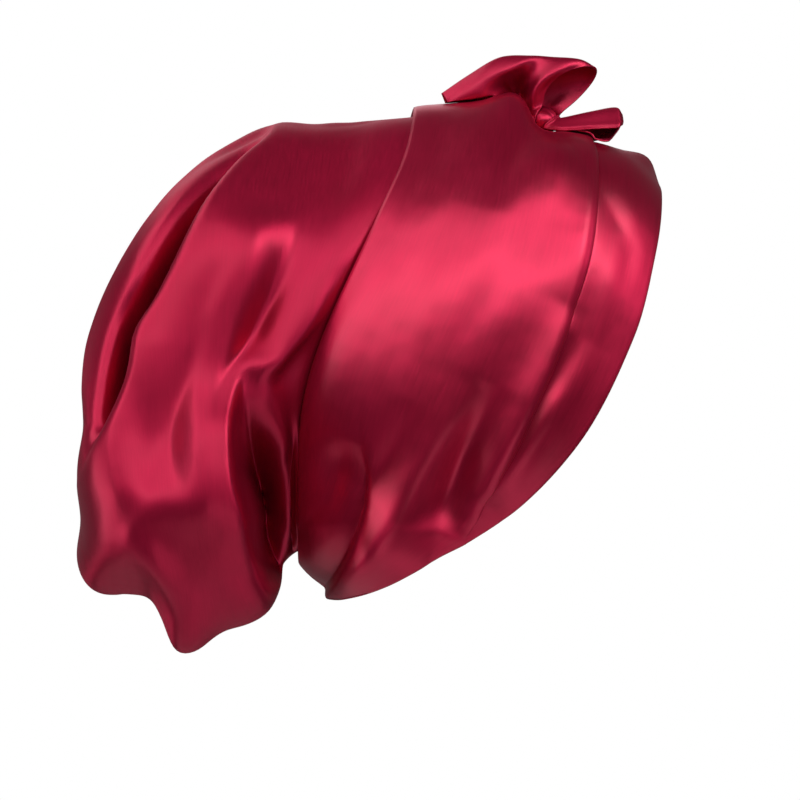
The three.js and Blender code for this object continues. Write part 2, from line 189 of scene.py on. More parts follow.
# %% [markdown]
# ## Puffs and unevenness
# Broad swells and hollows have no line: a puff is a soft bump round one point, with a radius along each axis.
# Between the folds real cloth is never quite even. Smooth noise that is long in one direction, the way the
# cloth is pulled, keeps it from looking blown up like a balloon.

# %% Puffs and unevenness
FAR_SHIFT = 7  # the two sides read the noise this far from its middle, so they differ


def puff_lift(points, puff):
    distance = np.linalg.norm((points - np.array(puff["at"])) / np.array(puff["radius"]), axis=-1)
    return puff["height"] * np.exp(-(distance**2))


def unevenness(points, direction, length, width):
    """Smooth noise from -1 to 1, stretched along a direction of the side view."""
    view = seen(points).reshape(-1, 2)
    direction = unit(np.array(direction, float))
    along = view @ direction / length
    across = view @ np.array([-direction[1], direction[0]]) / width
    side = np.sign(points[..., 1]).reshape(-1) * FAR_SHIFT
    values = [noise.noise((u, v, w)) for u, v, w in zip(along, across, side)]
    return np.array(values).reshape(points.shape[:-1])


def total_lift(points, folds, puffs):
    lift = sum(fold_lift(points, fold) for fold in folds)
    return lift + sum(puff_lift(points, puff) for puff in puffs)


trial = {"puff": "trial", "at": (0, 0, 0), "radius": (9, 9, 9), "height": 1.0}
print("A puff of 1 mm, at its middle and 9 mm away:", puff_lift(np.array([[0, 0, 0], [9, 0, 0]]), trial))

# %% [markdown]
# ## From a flat cut to a worn shape
# `primitive_grid_add` makes the flat cut, with a UV map that keeps the direction of the threads. The points
# then move to the worn shape. Where a ring closes, its two edges meet and are merged. Solidify gives the
# cloth its thickness. The faces of the inside take a second material, the duller back of the satin.

# %% Cloth tools
CLOTH = 0.9  # thickness of doubled satin
SEWN = 0.005  # points closer than this are merged


def cloth_piece(name, grid, sewn=False):
    """A mesh piece from a grid of points in millimetres; a sewn piece is closed where its points meet."""
    rows, columns = grid.shape[0] - 1, grid.shape[1] - 1
    bpy.ops.object.select_all(action="DESELECT")
    bpy.ops.mesh.primitive_grid_add(x_subdivisions=columns, y_subdivisions=rows, size=1)
    piece = bpy.context.object
    piece.name = piece.data.name = name
    flat = np.empty(len(piece.data.vertices) * 3)
    piece.data.vertices.foreach_get("co", flat)
    flat = flat.reshape(-1, 3) + 0.5
    column = np.rint(flat[:, 0] * columns).astype(int)
    row = np.rint(flat[:, 1] * rows).astype(int)
    piece.data.vertices.foreach_set("co", (grid[row, column] * MM).ravel())
    if sewn:
        bpy.ops.object.mode_set(mode="EDIT")
        bpy.ops.mesh.select_all(action="SELECT")
        bpy.ops.mesh.remove_doubles(threshold=SEWN * MM)
        bpy.ops.object.mode_set(mode="OBJECT")
    bpy.ops.object.shade_smooth()
    return piece


def thicken(piece, thickness):
    """Gives a piece its wall. A ring's grid faces inward, so it stays as the inside under the new outside."""
    inside = len(piece.data.polygons)
    wall = piece.modifiers.new("wall", "SOLIDIFY")
    wall.thickness = thickness * MM
    wall.offset = -1
    wall.use_even_offset = False
    bpy.context.view_layer.objects.active = piece
    bpy.ops.object.modifier_apply(modifier=wall.name)
    for face in piece.data.polygons[:inside]:
        face.material_index = 1  # the second material is the back of the cloth


print("Cloth thickness in mm:", CLOTH)

# %% [markdown]
# ## Band lines
# The band runs from the seam with the crown to the front edge. Both edges are drawn from the side, as (x, z)
# from the top to the nape, and laid on the block; the far side is a mirror image. Lofting between two edges
# gives a band of changing width, as a cut strip would not.

# %% Band lines
BAND_EDGES = [
    {"place": "top", "rear": (-25, 110), "front": (87, 74)},
    {"place": "upper", "rear": (-35, 79), "front": (81, 44)},
    {"place": "front side", "rear": (-45, 47), "front": (69, 4)},
    {"place": "middle", "rear": (-59, 6), "front": (46, -40)},
    {"place": "lower", "rear": (-69.5, -35), "front": (12, -75)},
    {"place": "low", "rear": (-75, -79), "front": (-32, -100)},
    {"place": "nape", "rear": (-77, -97), "front": (-67, -113)},
]
HALF_AROUND = 165  # columns from the top to the nape, on each side
FINE_STEPS = 400  # steps on half of a line, before its points are spaced evenly
MEAN_REACH = 100  # turns the angle between the edges into a width


def band_edge(edge):
    """Unit directions along a band edge, evenly spaced from the top to the nape."""
    points = np.array([row[edge] for row in BAND_EDGES], float)
    for end in (0, -1):
        direction = unit(np.array([points[end, 0], 0, points[end, 1]]))
        points[end] = direction[[0, 2]] * block_reach(direction)
    side_view = smooth_line(points, np.linspace(0, 1, 2 * FINE_STEPS))
    depth = np.maximum(0, 1 - block_profile(side_view[:, 0], side_view[:, 1])) ** (1 / SECTION_POWER)
    depth[[0, -1]] = 0
    line = np.stack([side_view[:, 0], -BLOCK_SIDE * depth, side_view[:, 1]], axis=1)
    return unit(evenly_spaced(line, HALF_AROUND + 1))


def both_sides(near_side):
    """Adds the far side to columns that run from the top to the nape, so that they close round."""
    return np.concatenate([near_side, near_side[::-1][1:] * (1, -1, 1)])


rear_edge = both_sides(band_edge("rear"))
front_edge = both_sides(band_edge("front"))
down = 1 - np.abs(np.linspace(-1, 1, 2 * HALF_AROUND + 1))  # 0 at the top, 1 at the nape
band_width = np.arccos((rear_edge * front_edge).sum(-1)) * MEAN_REACH
print("Band width in mm, top and nape:", np.round([band_width[0], band_width[HALF_AROUND]]))

# %% [markdown]
# ## Band folds
# The band is pulled tight over the top and hangs in soft folds lower down, where it is drawn to the nape.
# Each row of the table is one fold that shows: (x, z, height) from top to bottom, then (share, width) behind
# the line and in front of it. The far side repeats them.

# %% Band folds
BAND_FOLDS = [
    {"fold": "panel edge", "back": (1, 16), "front": (0, 8), "crisp": 1.0,
     "line": [(56, 92, 0.4), (52, 57, 1.0), (39, 7, 1.4), (18, -41, 1.4), (7, -67, 0.4)]},
    {"fold": "tuck ridge", "back": (1, 9), "front": (1, 7),
     "line": [(42, 18, 0), (33, -4, 4), (23, -26, 6), (13, -47, 6), (1, -73, 2.5)]},
    {"fold": "tuck groove", "back": (1, 4), "front": (1, 5),
     "line": [(44, 8, 0), (36, -12, -2.4), (25, -34, -3.6), (14, -54, -3), (5, -70, -1)]},
    {"fold": "strip ridge", "back": (1, 5), "front": (1, 8),
     "line": [(52, 4, 0), (44, -12, 2), (30, -33, 4.5), (15, -57, 4), (6, -70, 0)]},
    {"fold": "belly", "back": (1, 40), "front": (1, 24), "blunt": 1.2,
     "line": [(66, 60, 0), (45, 47, 4), (12, 19, 6), (-24, -22, 7), (-56, -56, 4)]},
    {"fold": "nape pleat", "back": (-1, 11), "front": (0.35, 12), "crisp": 1.8,
     "line": [(-43, -38, 0.5), (-45, -62, 4), (-48, -78, 6), (-57, -98, 6), (-66, -111, 4)]},
    {"fold": "middle valley", "back": (1, 10), "front": (1, 13),
     "line": [(10, -14, 0), (2, -34, -4), (-4, -50, -8), (-12, -72, -8), (-16, -84, -3)]},
    {"fold": "low ridge", "back": (1, 8), "front": (1, 9),
     "line": [(2, -14, 0), (-8, -31, 3), (-20, -50, 5), (-32, -71, 5), (-46, -92, 4), (-57, -106, 2)]},
    {"fold": "low valley", "back": (1, 9), "front": (1, 8),
     "line": [(-22, -22, 0), (-34, -44, -3), (-42, -56, -4), (-48, -70, -2)]},
    {"fold": "seam pocket", "back": (1, 8), "front": (1, 8),
     "line": [(-50, -34, 0), (-56, -48, -4), (-60, -62, -4), (-62, -78, -1)]},
    {"fold": "seam streak", "back": (1, 9), "front": (-0.8, 16), "blunt": 1.5, "crisp": 5,
     "line": [(-18, 94, 0), (-24, 76, -0.5), (-31, 58, -0.5), (-38, 38, 0)]},
    {"fold": "seam roll", "back": (1, 7), "front": (1, 14),
     "line": [(-36, 50, 0), (-46, 22, 1.4), (-55, -4, 1.8), (-63, -30, 2), (-67, -52, 2), (-70, -76, 1.5)]},
    {"fold": "strip streak", "back": (1, 9), "front": (-0.4, 12), "blunt": 1.5, "crisp": 5,
     "line": [(66, 72, 0), (70, 60, -0.5), (74, 42, -0.5), (72, 28, 0)]},
    {"fold": "knot crease", "back": (1, 9), "front": (1, 9),
     "line": [(27, 108, 0), (21, 94, -3), (14, 78, -2), (8, 62, 0)]},
    {"fold": "knot ridge", "back": (1, 10), "front": (1, 10),
     "line": [(36, 98, 0), (38, 86, 2.4), (37, 70, 1.6), (34, 56, 0)]},
]
BAND_PUFFS = [
    {"puff": "knot peak", "at": (19, -18, 109), "radius": (10, 18, 13), "height": 6.5},
    {"puff": "knot hollow", "at": (33, -6, 107), "radius": (8, 24, 14), "height": -8},
    {"puff": "front saddle", "at": (48, 0, 104), "radius": (24, 46, 24), "height": -10},
    {"puff": "seam slope", "at": (-30, -48, 94), "radius": (40, 40, 36), "height": -8},
    {"puff": "rear side", "at": (-50, -72, -22), "radius": (32, 40, 40), "height": 6},
    {"puff": "face edge", "at": (82, 8, 88), "radius": (9, 15, 9), "height": 8},
]
# At the nape the band hangs free; this height is the share by which it stands wider.
NAPE_FLARE = {"puff": "nape flare", "at": (-46, -52, -112), "radius": (40, 60, 44), "height": 0.42}
print("Band folds on each side:", len(BAND_FOLDS))

# %% [markdown]
# ## Band surface
# A point of the band is a direction from the middle of the block, the reach of the block along it, and the
# lift of all folds there. Written as a function of the share across the band, the same surface can carry the
# rows of the grid and the crown's edge below it.

# %% Band surface
def band_lift(points):
    folds = BAND_FOLDS + [dict(fold, side=FAR) for fold in BAND_FOLDS]
    lift = total_lift(points, folds, BAND_PUFFS)
    lift = lift + 0.8 * unevenness(points, (-0.5, -0.85), 90, 20)
    return lift + 0.4 * unevenness(points, (-0.35, -0.94), 70, 10)


def band_points(across, lift=0.0):
    """Points of the band's face at a share of its width from rear to front edge, raised by lift."""
    across = np.broadcast_to(across, down.shape)[:, None]
    directions = unit(rear_edge * (1 - across) + front_edge * across)
    on_block = directions * block_reach(directions)[:, None]
    points = on_block + directions * (band_lift(on_block) + lift)[:, None]
    near_twin = np.column_stack([points[:, 0], -np.abs(points[:, 1]), points[:, 2]])
    points[:, 1] *= 1 + puff_lift(near_twin, NAPE_FLARE)
    return points


print("Seam points all round:", len(band_points(0.0)))

# %% [markdown]
# ## Band piece
# A tuck divides the band into a wide rear panel and a front strip. There the cloth rolls over itself, so a
# few rows of the grid run along the tuck and turn back: each pair below is a step forward and a lift. The
# front edge is a turned hem and the rear edge a turned seam, made in the same way. A bevel could round them,
# but it would not turn the cloth under.

# %% Band piece
TUCK_DOWN = (0, 0.15, 0.33, 0.46, 0.56, 0.61, 0.68, 1)
TUCK_ACROSS = (0.64, 0.648, 0.69, 0.738, 0.806, 0.86, 0.965, 0.965)
HEM_ROLL = [
    (-9, -2.4), (-5, -2.3), (-1.5, -2.1), (-0.3, -1.7),
    (0, -1.2), (0, -0.6), (-0.4, -0.15), (-1.2, 0),
]
TUCK_ROLL = [(0, 0), (0.8, 0.2), (1.4, 0.7), (1.5, 1.3), (1.0, 1.8), (0, 2.0)]
SEAM_ROLL = [(0, -0.15), (0, -0.6), (0.5, -1.0)]
STRIP_ROWS = 22
PANEL_ROWS = 62
TUCK_FADE = (0.5, 0.70)  # shares of the way down between which the tuck ends
TUCK_LEAST = 0.03  # a smaller roll is left out, so that its rows merge
SETTLE = 3  # how fast the panel settles behind the tuck

tuck_across = np.interp(down, TUCK_DOWN, TUCK_ACROSS)
tuck_size = 1 - smoothstep(down, *TUCK_FADE)
tuck_size[tuck_size < TUCK_LEAST] = 0
rows = [band_points(1 + forward / band_width, lift) for forward, lift in HEM_ROLL]
strip_start = 1 + HEM_ROLL[-1][0] / band_width
for share in np.linspace(0, 1, STRIP_ROWS)[1:-1]:
    rows.append(band_points(strip_start * (1 - share) + tuck_across * share))
for forward, lift in TUCK_ROLL:
    rows.append(band_points(tuck_across + forward * tuck_size / band_width, lift * tuck_size))
for share in np.linspace(0, 1, PANEL_ROWS)[1:]:
    settle = TUCK_ROLL[-1][1] * tuck_size * np.exp(-share * SETTLE)
    rows.append(band_points(tuck_across * (1 - share), settle))
rows += [band_points(forward / band_width, lift) for forward, lift in SEAM_ROLL]
band = cloth_piece("satin_band", np.stack(rows), sewn=True)
thicken(band, CLOTH)
print("Band faces:", len(band.data.polygons))

# %% [markdown]
# ## Crown form
# The crown is a bag of cloth, so it is a lofted shell that sags, not a ball. Four lines run from the seam to
# the back: top, near side, bottom and far side. A closed section through the four is a sum of sines and
# cosines, so it is smooth all round. The two halves close along a line at the back, where the bag is sewn.

# %% Crown form
CROWN_STATIONS = [
    {"place": "seam", "top": (-25, 0, 109), "near": (-58, -66, 4),
     "bottom": (-77, 0, -97), "far": (-58, 66, 4)},
    {"place": "behind", "top": (-62, 6, 106), "near": (-80, -82, -14),
     "bottom": (-87, 0, -101), "far": (-82, 86, -6)},
    {"place": "widest", "top": (-97, 12, 102), "near": (-106, -90, -32),
     "bottom": (-98, 0, -110), "far": (-108, 94, -26)},
    {"place": "shoulder", "top": (-134, 18, 76), "near": (-131, -92, -40),
     "bottom": (-116, 0, -111), "far": (-133, 90, -44)},
    {"place": "slope", "top": (-159, 18, 42), "near": (-151, -90, -50),
     "bottom": (-138, 0, -106), "far": (-153, 78, -56)},
    {"place": "back", "top": (-174, 14, 8), "near": (-163, -78, -64),
     "bottom": (-154, 0, -103), "far": (-167, 58, -66)},
    {"place": "low_back", "top": (-176, 9, -14), "near": (-170, -56, -74),
     "bottom": (-163, 0, -104), "far": (-172, 38, -72)},
    {"place": "round", "top": (-173, 4, -34), "near": (-172, -27, -80),
     "bottom": (-168, 0, -102), "far": (-174, 20, -76)},
    {"place": "close", "top": (-172, 0, -46), "near": (-173, 0, -82),
     "bottom": (-170, 0, -102), "far": (-173, 0, -82)},
]
CROWN_ROWS = 135
SQUARENESS = 0.75  # 1 is an ellipse, less is squarer
SEAM_LAP = 4  # how far the crown reaches under the band
LAP_SHARES = (1, 0.7, 0.4, 0.1, -0.4, -0.9)  # its rows there, the last two behind the band's edge
SEAM_BLEND = 0.3  # share of the crown's length over which it leaves the seam's own shape
INSET = 4.2  # the crown's edge lies this far inside the band's face, clear of its turned seam


def crown_section(along):
    """Points of the bag round its section at a share along its lines, from the top by the near side."""
    lines = ("top", "near", "bottom", "far")
    top, near, bottom, far = (
        smooth_line([row[line] for row in CROWN_STATIONS], [along])[0] for line in lines
    )
    angle = np.linspace(0, 2 * np.pi, 2 * FINE_STEPS + 1)[:, None]
    upright = np.sign(np.cos(angle)) * np.abs(np.cos(angle)) ** SQUARENESS
    across = np.sign(np.sin(angle)) * np.abs(np.sin(angle)) ** SQUARENESS
    section = (top + near + bottom + far) / 4 + (top - bottom) / 2 * upright + (near - far) / 2 * across
    section += (top + bottom - near - far) / 4 * np.cos(2 * angle)
    near_half = evenly_spaced(section[:FINE_STEPS + 1], HALF_AROUND + 1)
    far_half = evenly_spaced(section[FINE_STEPS:], HALF_AROUND + 1)
    return np.concatenate([near_half, far_half[1:]])


lapped = [band_points(share * SEAM_LAP / band_width, -INSET) for share in LAP_SHARES]
from_section = lapped[-1] - crown_section(0)
bag = []
for along in np.linspace(0, 1, CROWN_ROWS + 1)[1:]:
    bag.append(crown_section(along) + from_section * (1 - smoothstep(along, 0, SEAM_BLEND)))
crown_form = np.stack(lapped + bag)
print("Crown rows and columns:", crown_form.shape[:2])

# %% [markdown]
# ## Crown folds
# The bag hangs from the seam by its own weight. Its near side falls in long valleys, turns under at the
# bottom, and hooks into a deep pocket above the nape. Behind, the cloth is parted into a near lobe and a far
# lobe. The tables are read as the band's are.

# %% Crown folds
CROWN_FOLDS = [
    {"fold": "lobe edge", "back": (-1, 9), "front": (0.2, 20), "crisp": 1.6, "reach": 10,
     "line": [(-92, 102, 4), (-109, 87, 8), (-126, 60, 10), (-144, 25, 10), (-154, 9, 10), (-159, -10, 8),
              (-168, -34, 3)]},
    {"fold": "top crease", "back": (1, 9), "front": (1, 16),
     "line": [(-62, 80, 0), (-80, 73, -1.2), (-98, 66, -1.4), (-113, 60, 0)]},
    {"fold": "patch ridge", "back": (1, 14), "front": (1, 10),
     "line": [(-92, 70, 0), (-95, 56, 2.5), (-104, 38, 2.5), (-114, 14, 2.5), (-120, -14, 2.5),
              (-121, -42, 5), (-120, -68, 4)]},
    {"fold": "long valley", "back": (1, 9), "front": (1, 17),
     "line": [(-64, 86, 0), (-70, 73, -0.8), (-76, 59, -3), (-83, 44, -7), (-92, 24, -12), (-101, 3, -13),
              (-109, -12, -10), (-116, -34, -1)]},
    {"fold": "side valley", "back": (1, 12), "front": (1, 9),
     "line": [(-106, 54, 0), (-119, 24, -4), (-130, -10, -7), (-136, -32, -7), (-135, -50, -6),
              (-132, -68, -2)]},
    {"fold": "back valley", "back": (1, 12), "front": (1, 12),
     "line": [(-148, 4, 0), (-152, -20, -4), (-150, -42, -6), (-146, -60, -5), (-140, -74, 0)]},
    {"fold": "hook rim", "back": (1, 12), "front": (0.9, 5), "blunt": 0.3,
     "line": [(-58, 32, 0), (-66, 20, 4), (-74, 9, 6), (-80, 1, 6), (-86, -6, 6), (-92, -8, 6), (-98, -7, 6),
              (-104, -9, 6), (-107.5, -16, 6), (-109, -30, 5), (-109, -46, 5), (-109, -60, 5), (-106, -76, 5),
              (-102, -92, 4), (-100, -100, 2)]},
    {"fold": "seam hollow", "back": (1, 10), "front": (1, 7),
     "line": [(-60, 12, 0), (-66, 0, -5), (-72, -14, -9), (-77, -30, -9)]},
    {"fold": "pocket ridge", "back": (1, 6), "front": (1, 6),
     "line": [(-85, -14, 0), (-83, -28, 3), (-87, -42, 4), (-94, -54, 1)]},
    {"fold": "turn under", "back": (1, 10), "front": (1, 20), "blunt": 1.4,
     "line": [(-174, -60, 1), (-152, -62, 5), (-130, -68, 8), (-112, -74, 5)]},
    {"fold": "tip crease", "back": (1, 4), "front": (1, 5),
     "line": [(-151, -84, 0), (-140, -98, 4.2), (-128, -108, 4.2), (-112, -122, 1)]},
    {"fold": "corner crease", "back": (1, 7), "front": (1, 7),
     "line": [(-158, -80, 0), (-150, -92, 2.5), (-140, -104, 2.5), (-134, -112, 0)]},
    {"fold": "far valley", "side": FAR, "back": (1, 10), "front": (1, 12),
     "line": [(-76, 64, 0), (-90, 42, -8), (-104, 20, -8), (-122, -36, 0)]},
    {"fold": "far ridge", "side": FAR, "back": (1, 11), "front": (1, 8),
     "line": [(-56, 42, 0), (-70, 16, 7), (-90, -10, 8), (-110, -50, 8), (-106, -98, 4)]},
    {"fold": "far back valley", "side": FAR, "back": (1, 10), "front": (1, 11),
     "line": [(-140, 30, 0), (-148, 0, -6), (-146, -36, -6), (-138, -70, 0)]},
]
CROWN_PUFFS = [
    {"puff": "low tip", "at": (-122, -42, -112), "radius": (14, 26, 18), "height": 25},
    {"puff": "low corner", "at": (-98, -44, -106), "radius": (13, 26, 14), "height": 9},
    {"puff": "far low tip", "at": (-126, 40, -112), "radius": (26, 26, 26), "height": 14},
    {"puff": "corner", "at": (-174, -28, -94), "radius": (20, 26, 16), "height": 5},
    {"puff": "seam slope", "at": (-76, -52, 88), "radius": (30, 42, 36), "height": -8},
    {"puff": "low edge", "at": (-152, -34, -106), "radius": (14, 26, 12), "height": 6},
    {"puff": "lobe notch", "at": (-173, -6, -38), "radius": (14, 30, 12), "height": -7},
]
print("Crown folds:", len(CROWN_FOLDS))

# %% [markdown]
# ## Crown pleats
# Two places are too deep to be a valley: the pocket above the nape and the gap between the lobes. There the
# cloth is drawn in towards the middle plane. A table has the same form as a fold's, but each height is the
# share of its depth by which the cloth is drawn in; a swell is the opposite.

# %% Crown pleats
CROWN_PLEATS = [
    {"fold": "lobe gap", "back": (1, 10), "front": (0, 8), "crisp": 1.5, "blunt": 0.4,
     "line": [(-92, 103, 0.2), (-107, 90, 0.6), (-124, 64, 0.85), (-142, 30, 0.9), (-153, 10, 0.9),
              (-158, -10, 0.8), (-167, -34, 0.3)]},
    {"fold": "nape pleat", "back": (0, 8), "front": (1, 22), "crisp": 4.0,
     "line": [(-104, -12, 0), (-106, -22, 0.05), (-107, -32, 0.18), (-107, -46, 0.48), (-106, -60, 0.75),
              (-103, -76, 0.8), (-99, -92, 0.8), (-96, -106, 0.7)]},
    {"fold": "far nape pleat", "side": FAR, "back": (0, 8), "front": (1, 17), "crisp": 4.0,
     "line": [(-100, -14, 0), (-108, -34, 0.5), (-108, -60, 0.7), (-103, -80, 0.7), (-97, -104, 0.3)]},
]
CROWN_SWELL = {"puff": "lobe swell", "at": (-120, -52, 62), "radius": (34, 60, 40), "height": 0.18}
print("Crown pleats:", len(CROWN_PLEATS))

# %% [markdown]
# ## Crown piece
# All folds raise the form along its normal, and they fade out at the seam and at the closing line, so that
# both stay in place. Two rounds of averaging with the neighbours take off any edge that cloth would not hold.

# %% Crown piece
SEAM_FADE = 14  # rows over which the folds start behind the seam
PLEAT_FADE = 6  # the same for the pleats
CLOSE_FADE = 8  # rows over which the folds end before the closing line
MOST_SWELL = 0.5
MOST_DRAWN = 0.85


def grid_normals(grid):
    """Outward normals of a grid of points whose rows close round."""
    around = np.concatenate([grid[:, -2:-1], grid, grid[:, 1:2]], axis=1)
    normal = np.cross(np.gradient(grid, axis=0), np.gradient(around, axis=1)[:, 1:-1])
    return normal / np.maximum(np.linalg.norm(normal, axis=-1, keepdims=True), 1e-9)


def eased(grid):
    """Each point moved half way to the middle of its neighbours, first down the rows, then along them."""
    grid = grid.copy()
    grid[1:-1] += 0.25 * (grid[:-2] + grid[2:] - 2 * grid[1:-1])
    grid[:, 1:-1] += 0.25 * (grid[:, :-2] + grid[:, 2:] - 2 * grid[:, 1:-1])
    return grid


lift = total_lift(crown_form, CROWN_FOLDS, CROWN_PUFFS)
lift = lift + 1.0 * unevenness(crown_form, (-0.5, -0.85), 90, 34)
lift = lift - 2.0 * np.abs(unevenness(crown_form, (-0.45, -0.9), 95, 30))
lift = lift + 0.5 * unevenness(crown_form, (-0.4, -0.92), 60, 11)
from_seam = np.arange(len(crown_form))[:, None] - len(lapped)
to_close = len(crown_form) - 1 - np.arange(len(crown_form))[:, None]
lift = lift * smoothstep(from_seam, 0, SEAM_FADE) * smoothstep(to_close, 0, CLOSE_FADE)
crown_grid = crown_form + grid_normals(crown_form) * lift[..., None]
drawn_in = sum(fold_lift(crown_form, fold) for fold in CROWN_PLEATS) - puff_lift(crown_form, CROWN_SWELL)
drawn_in = np.clip(drawn_in * smoothstep(from_seam, 0, PLEAT_FADE), -MOST_SWELL, MOST_DRAWN)
crown_grid[..., 1] *= 1 - drawn_in
crown_grid = eased(eased(crown_grid))
crown_grid[:len(lapped)] = lapped  # easing must not lift the lap through the band
crown_grid[-1] = (crown_grid[-1] + crown_grid[-1][::-1]) / 2  # the two halves meet on the closing line
crown = cloth_piece("satin_crown", crown_grid, sewn=True)
thicken(crown, CLOTH)
print("Crown faces:", len(crown.data.polygons))

# %% [markdown]
# ## Lying on the band
# The knot and the tie ends lie on the band and must not sink into it. A Shrinkwrap modifier could move them
# out, but it gives no say in which points move. Here a BVH tree finds the band's nearest face, much faster
# than a loop over all faces, and only the points that are too close are moved.

# %% Clear of the band
GAP = 0.25  # clear space between the tie, its knot and the band
TOUCHING = 0.05  # closer than this, the face's own normal is the safer way out
OUTSIDE = 200  # distance from the middle that is outside all cloth

band_tree = BVHTree.FromObject(band, bpy.context.evaluated_depsgraph_get())


def lifted_off(place, tree, clearance):
    """A place moved straight away from the nearest face of a piece, to the clearance from it."""
    nearest, away, index, distance = tree.find_nearest(place)
    offset = place - nearest
    side = 1 if offset.dot(away) >= 0 else -1
    if distance * side >= clearance:
        return place
    if distance > TOUCHING * MM:
        away = offset.normalized() * side
    return nearest + away * clearance


def clear_of_band(points, clearance):
    """Points moved out until they are off the band's face by the clearance."""
    cleared = []
    for point in points.reshape(-1, 3) * MM:
        place = Vector(point)
        face = band_tree.ray_cast(place.normalized() * OUTSIDE * MM, -place)[0]
        if face and face.length > place.length:
            place = face
        for attempt in range(3):
            place = lifted_off(place, band_tree, clearance * MM)
        cleared.append(place / MM)
    return np.array(cleared).reshape(points.shape)


print("Gap on the band in mm:", GAP)

# %% [markdown]
# ## Knot
# The tie runs out of the front of the band and is knotted on top. The knot could be a modelled overhand knot,
# but its turns are pressed into one small tight lump, so a squashed UV sphere does. Its pleats run round the
# lump, deeper in the middle, the way a strip gathers where it is pulled through its own loop.

# %% Knot
KNOT_AT = np.array([33.0, 1.0, 104.0])
KNOT_RADII = np.array([7.5, 10.5, 7.5])
KNOT_PLEATS = 7
PLEAT_SPREAD = 1.4  # spaces the pleats along the knot
PLEAT_SLANT = 0.25  # how far they run aslant
PLEAT_DEPTH = 0.09  # share of the radius
WAIST_DEPTH = 0.16
WAIST_WIDTH = 0.35

bpy.ops.object.select_all(action="DESELECT")
bpy.ops.mesh.primitive_uv_sphere_add(segments=96, ring_count=64, radius=1)
knot = bpy.context.object
knot.name = knot.data.name = "satin_knot"
ball = np.empty(len(knot.data.vertices) * 3)
knot.data.vertices.foreach_get("co", ball)
ball = ball.reshape(-1, 3)
turn_round = np.arctan2(ball[:, 2], ball[:, 0])
slant = PLEAT_SLANT * np.sin(turn_round + 0.6)
pleat = np.abs(np.sin(KNOT_PLEATS * (ball[:, 1] * PLEAT_SPREAD + slant)))
waist = 1 - WAIST_DEPTH * np.exp(-((ball[:, 1] / WAIST_WIDTH) ** 2)) * (1 + np.cos(turn_round)) / 2
scale = (1 - PLEAT_DEPTH * (1 - pleat) * (1 - ball[:, 1] ** 2)) * waist
lump = clear_of_band(KNOT_AT + ball * KNOT_RADII * scale[:, None], GAP)
knot.data.vertices.foreach_set("co", (lump * MM).ravel())
bpy.ops.object.shade_smooth()
print("Knot faces:", len(knot.data.polygons))

# %% [markdown]
# ## Tie ends
# One end stands up out of the knot and flops back over it, so from the side we look into its mouth; the other
# end is folded along its length and lies forward. A curve with a bevel could make a ribbon, but not one that
# opens. So each is a short strip lofted through stations from the knot to the cut end, with a few points
# across: x and z as seen, with the depth y between them. Where a strip would sink into the knot or the band,
# it is moved out to lie on it.

# %% Tie tables
TIE_END_BACK = [
    {"place": "mouth", "across": [(31, -3, 103), (33, -6, 110.5), (35.4, -10, 119.5), (44, -12, 126.8),
                                  (56.6, -6, 129.4), (57, 3, 123.5), (48, 6, 113), (36, 4, 104)]},
    {"place": "inside", "across": [(29.5, -4, 103.5), (28, -5, 109), (28.5, -10, 118), (36, -14, 126),
                                   (49, -9, 133), (53, 3, 127), (46, 7, 117), (35, 5, 107)]},
    {"place": "crease", "across": [(28, -1, 104), (25, 5, 109), (23, 6, 117.5), (26, -9, 127),
                                   (36.4, -9, 134), (42, 3, 128), (40, 8, 118), (33, 6, 107)]},
    {"place": "top", "across": [(19, 3, 110), (18, 4, 117), (15.5, -7, 123), (19, -12, 128),
                                (27.3, -8, 134.5), (30, 3, 129), (30, 8, 116), (28, 6, 105)]},
    {"place": "fall", "across": [(11, -6, 113), (9, -8, 115.5), (7, -10, 119.5), (8, -10, 126),
                                 (13.7, -6, 133.8), (16, 3, 128), (16, 7, 117), (16, 6, 108)]},
    {"place": "down", "across": [(2, -6, 111), (0.5, -7, 113.5), (-1, -8, 116.5), (-1, -7, 121),
                                 (0, -3, 126), (2, 3, 122), (3, 6, 114), (4, 7, 108)]},
    {"place": "cut", "across": [(-9.5, -4, 110.5), (-10.2, -5, 112.5), (-11, -4, 114), (-12, -2, 115.5),
                                (-13.2, 0, 116.9), (-12, 3, 114), (-11, 5, 110), (-10, 6, 107)]},
]
TIE_END_FRONT = [
    {"place": "knot", "across": [(33.5, -8.5, 99), (37, 5, 101), (37, -2, 105.5), (34.5, -8, 103.5),
                                 (33, -9.5, 101)]},
    {"place": "root", "across": [(41, -13, 98.2), (42, 12, 97.5), (42, -5, 105.8), (42, -13, 102.2),
                                 (42, -14, 99.8)]},
    {"place": "middle", "across": [(53, -16, 95.6), (55, 14, 95.5), (55, -8, 108.6), (55, -17, 103.2),
                                   (55, -18, 100.6)]},
    {"place": "cut", "across": [(62, -18, 94.6), (65.5, 11, 100), (66.2, -8, 110.6), (67, -17, 104.2),
                                (66.8, -19, 101.3)]},
    {"place": "lip", "across": [(64.6, -14, 96), (68.5, 4, 101.5), (69.2, -7, 107.5), (69.9, -13, 104.2),
                                (69.6, -15, 102.4)]},
]
print("Stations of the tie ends:", len(TIE_END_BACK), len(TIE_END_FRONT))

# %% Tie ends
TIE_THICKNESS = 0.8


def placed(table):
    """Real points from rows of (x seen, depth, z seen)."""
    table = np.asarray(table, float)
    zoom = (table[..., 1] - CAMERA_AT[1]) / -CAMERA_AT[1]
    x = CAMERA_AT[0] + (table[..., 0] - CAMERA_AT[0]) * zoom
    z = CAMERA_AT[2] + (table[..., 2] - CAMERA_AT[2]) * zoom
    return np.stack([x, table[..., 1], z], axis=-1)


knot_tree = BVHTree.FromObject(knot, bpy.context.evaluated_depsgraph_get())


